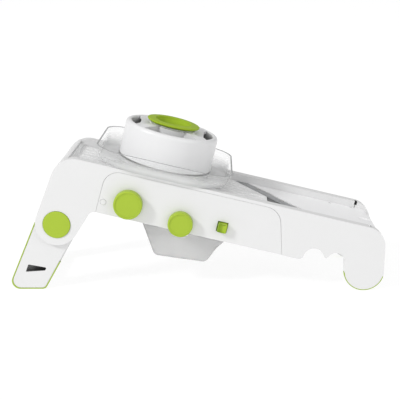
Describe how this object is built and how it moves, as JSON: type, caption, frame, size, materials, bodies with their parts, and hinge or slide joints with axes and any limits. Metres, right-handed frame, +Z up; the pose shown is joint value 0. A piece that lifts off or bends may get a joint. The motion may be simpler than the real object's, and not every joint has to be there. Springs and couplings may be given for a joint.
{
  "type": "mandoline slicer",
  "caption": "Adjustable mandoline slicer with a sloping deck on a fold-out leg, diagonal blade, julienne drum, side knobs and a clear sliding food guard with a round grip.",
  "frame": {"origin": "on the table at the centre of the footprint, halfway between leg tip and foot and between the two sides", "axes": "+X runs downhill along the deck towards the exit end, +Z up, and the knobs are on the -Y side"},
  "size_m": [0.4084, 0.14, 0.184],
  "materials": {
    "white_plastic": "smooth white moulded plastic, semi-gloss",
    "green_plastic": "lime green moulded plastic, satin",
    "green_rubber": "lime green soft overmould",
    "clear_plastic": "clear polished plastic",
    "smoke_plastic": "translucent pale grey plastic",
    "grey_plastic": "dark grey moulded plastic",
    "blade_steel": "ground stainless steel",
    "spring_steel": "drawn spring wire",
    "screw_steel": "turned stainless steel"
  },
  "bodies": {
    "frame": {"main_frame": "white_plastic", "near_side_cover": "white_plastic", "far_side_cover": "white_plastic", "exit_plate": "white_plastic", "foot_pads": "green_rubber", "leg_pivot_pins": "screw_steel", "leg_pivot_caps": "green_plastic", "blade_carrier": "grey_plastic", "main_blade": "blade_steel", "blade_rivets": "screw_steel", "lower_shield": "smoke_plastic", "shield_screws": "screw_steel", "cover_plugs": "white_plastic", "cover_screws": "screw_steel", "exit_plate_screws": "screw_steel", "ramp_hinge_pin": "screw_steel", "button_spring": "spring_steel"},
    "leg": {"folding_leg": "white_plastic", "leg_pads": "green_rubber"},
    "ramp": {"ramp": "white_plastic"},
    "thickness_dial": {"thickness_knob": "green_plastic", "thickness_shaft": "screw_steel", "lift_cams": "white_plastic"},
    "julienne_drum": {"julienne_knob": "green_plastic", "drum_shaft": "screw_steel", "blade_drum": "white_plastic", "fine_comb": "blade_steel", "coarse_comb": "blade_steel"},
    "button": {"release_button": "green_plastic"},
    "guard": {"guard_tray": "clear_plastic", "guard_cup": "white_plastic", "cup_screws": "screw_steel", "plunger_spring": "spring_steel"},
    "plunger": {"pusher_hub": "white_plastic", "palm_disc": "green_plastic", "food_plate": "white_plastic", "food_pins": "blade_steel"}
  },
  "joints": [
    {"name": "leg_fold", "type": "hinge", "parent": "frame", "child": "leg", "pos_m": [-0.15034, 0, 0.07565], "axis": [0, -1, 0], "range_deg": [0, 98]},
    {"name": "thickness_turn", "type": "hinge", "parent": "frame", "child": "thickness_dial", "pos_m": [-0.07192, 0, 0.09925], "axis": [0, 1, 0], "range_deg": [0, 270]},
    {"name": "ramp_tilt", "type": "hinge", "parent": "frame", "child": "ramp", "pos_m": [-0.13249, 0, 0.13409], "axis": [0, 1, 0], "range_deg": [0, 2.25]},
    {"name": "julienne_turn", "type": "hinge", "parent": "frame", "child": "julienne_drum", "pos_m": [-0.01652, 0, 0.07741], "axis": [0, 1, 0], "range_deg": [-120, 120]},
    {"name": "button_press", "type": "slide", "parent": "frame", "child": "button", "axis": [0, 1, 0], "range_m": [0, 0.003], "stiffness_N_per_m": 300, "springref_m": -0.002, "deforming": ["button_spring"]},
    {"name": "guard_slide", "type": "slide", "parent": "frame", "child": "guard", "axis": [0.9715, 0, -0.2368], "range_m": [-0.018, 0.165]},
    {"name": "plunger_lift", "type": "slide", "parent": "guard", "child": "plunger", "axis": [0.2368, 0, 0.9715], "range_m": [0, 0.018], "stiffness_N_per_m": 60, "springref_m": -0.02, "deforming": ["plunger_spring"]}
  ],
  "couplings": [
    {"joint": "ramp_tilt", "follows": "thickness_turn", "ratio": 0.0083333}
  ]
}
